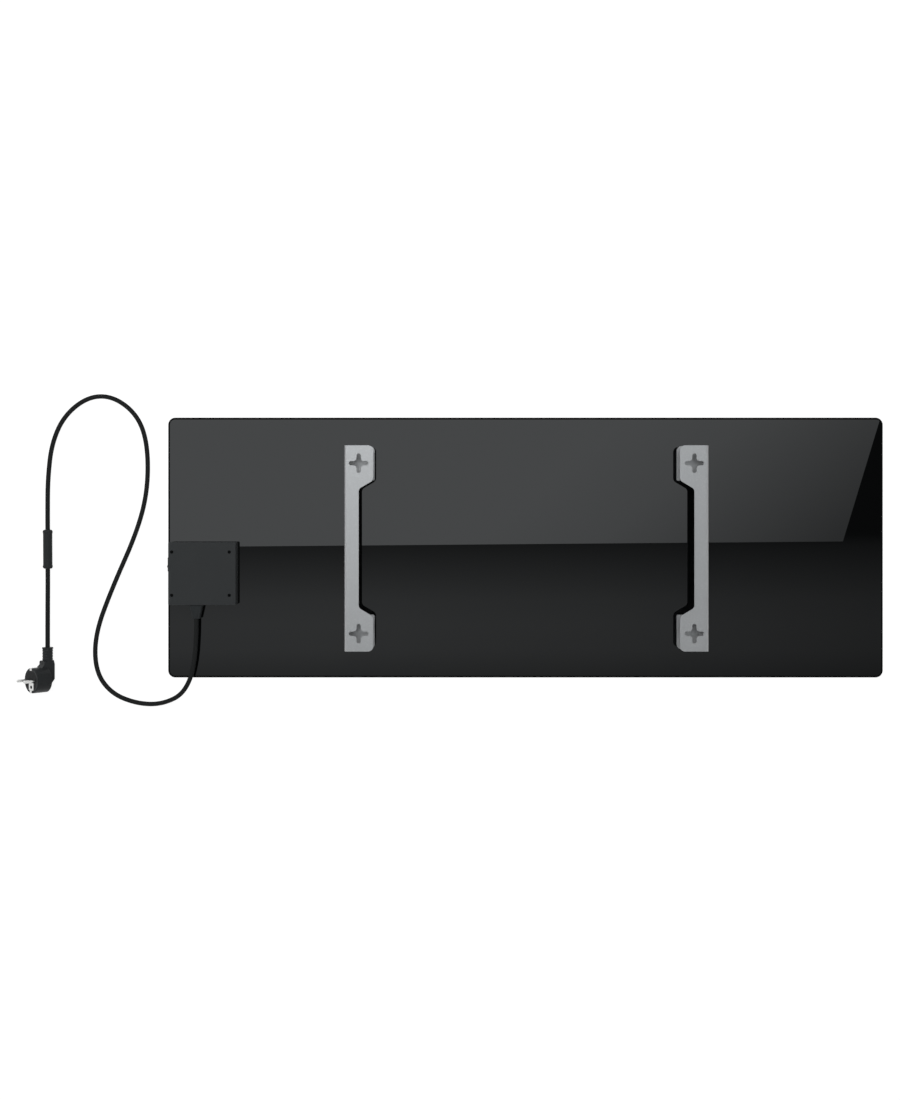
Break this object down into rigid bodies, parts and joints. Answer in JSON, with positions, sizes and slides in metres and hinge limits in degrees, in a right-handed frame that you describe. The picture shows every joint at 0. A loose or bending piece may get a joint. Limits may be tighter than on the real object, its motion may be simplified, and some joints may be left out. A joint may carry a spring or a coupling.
{
  "type": "panel heater",
  "caption": "Glass infrared panel heater seen from its back: bonded glass slab, folded hanging brackets with cross keyholes, control box with rocker switch, mains cord with choke and plug",
  "frame": {"origin": "middle of the front glass face, which the heater lies on", "axes": "+X along the panel to the right as seen from behind, +Y to the panel's top edge, +Z out of its back"},
  "size_m": [1.3263, 0.481, 0.0532],
  "materials": {
    "black_glass": "back-painted black glass, polished",
    "bond_film": "translucent bonding sheet",
    "carbon_film": "printed carbon film",
    "copper": "tinned copper strip",
    "black_seal": "black silicone",
    "bracket_grey": "silver-grey coated sheet steel",
    "adhesive": "foam adhesive",
    "box_black": "fine-textured black moulding",
    "screw_steel": "blackened steel",
    "board_green": "solder mask on glass fibre board",
    "relay_blue": "relay case",
    "module_black": "potted module",
    "connector_green": "screw connector",
    "terminal_white": "terminal block",
    "cutout_can": "aluminium can",
    "blade_metal": "tinned brass blade",
    "switch_black": "black moulding",
    "wire_brown": "line core",
    "wire_blue": "neutral core",
    "wire_earth": "earth core",
    "wire_red": "film lead",
    "cord_black": "black sheathed cord",
    "boot_black": "soft moulding",
    "ferrite": "ferrite",
    "plug_black": "moulded plug",
    "plug_insert": "hard insert",
    "pin_nickel": "nickel-plated brass"
  },
  "bodies": {
    "heater": {"front_glass": "black_glass", "front_bond_sheet": "bond_film", "heating_film": "carbon_film", "busbars": "copper", "rear_bond_sheet": "bond_film", "rear_glass": "black_glass", "edge_seal": "black_seal", "left_bracket": "bracket_grey", "right_bracket": "bracket_grey", "bracket_bond_pads": "adhesive", "box_bond_pad": "adhesive", "box_base": "box_black", "lid_gasket": "black_seal", "box_lid": "box_black", "lid_screws": "screw_steel", "board_screws": "screw_steel", "clamp_screws": "screw_steel", "control_board": "board_green", "board_connectors": "connector_green", "relay": "relay_blue", "power_supply": "module_black", "terminal_block": "terminal_white", "thermal_cutout": "cutout_can", "cutout_blades": "blade_metal", "switch_housing": "switch_black", "switch_blades": "blade_metal", "strain_relief": "boot_black", "cord_tail": "cord_black", "cord_clamp": "terminal_white", "line_wire": "wire_brown", "neutral_wire": "wire_blue", "earth_wire": "wire_earth", "switch_wires": "wire_brown", "neutral_feed": "wire_blue", "film_leads": "wire_red", "mains_cord": "cord_black", "choke_sleeve": "boot_black", "choke_core": "ferrite", "plug_body": "plug_black", "plug_insert": "plug_insert", "plug_pins": "pin_nickel", "earth_plate": "pin_nickel", "earth_clips": "pin_nickel"},
    "rocker": {"switch_rocker": "switch_black"}
  },
  "joints": [
    {"name": "rocker_pivot", "type": "hinge", "parent": "heater", "child": "rocker", "pos_m": [-0.5407, -0.025, 0.0225], "axis": [0, 0, 1], "range_deg": [0, 18]}
  ]
}
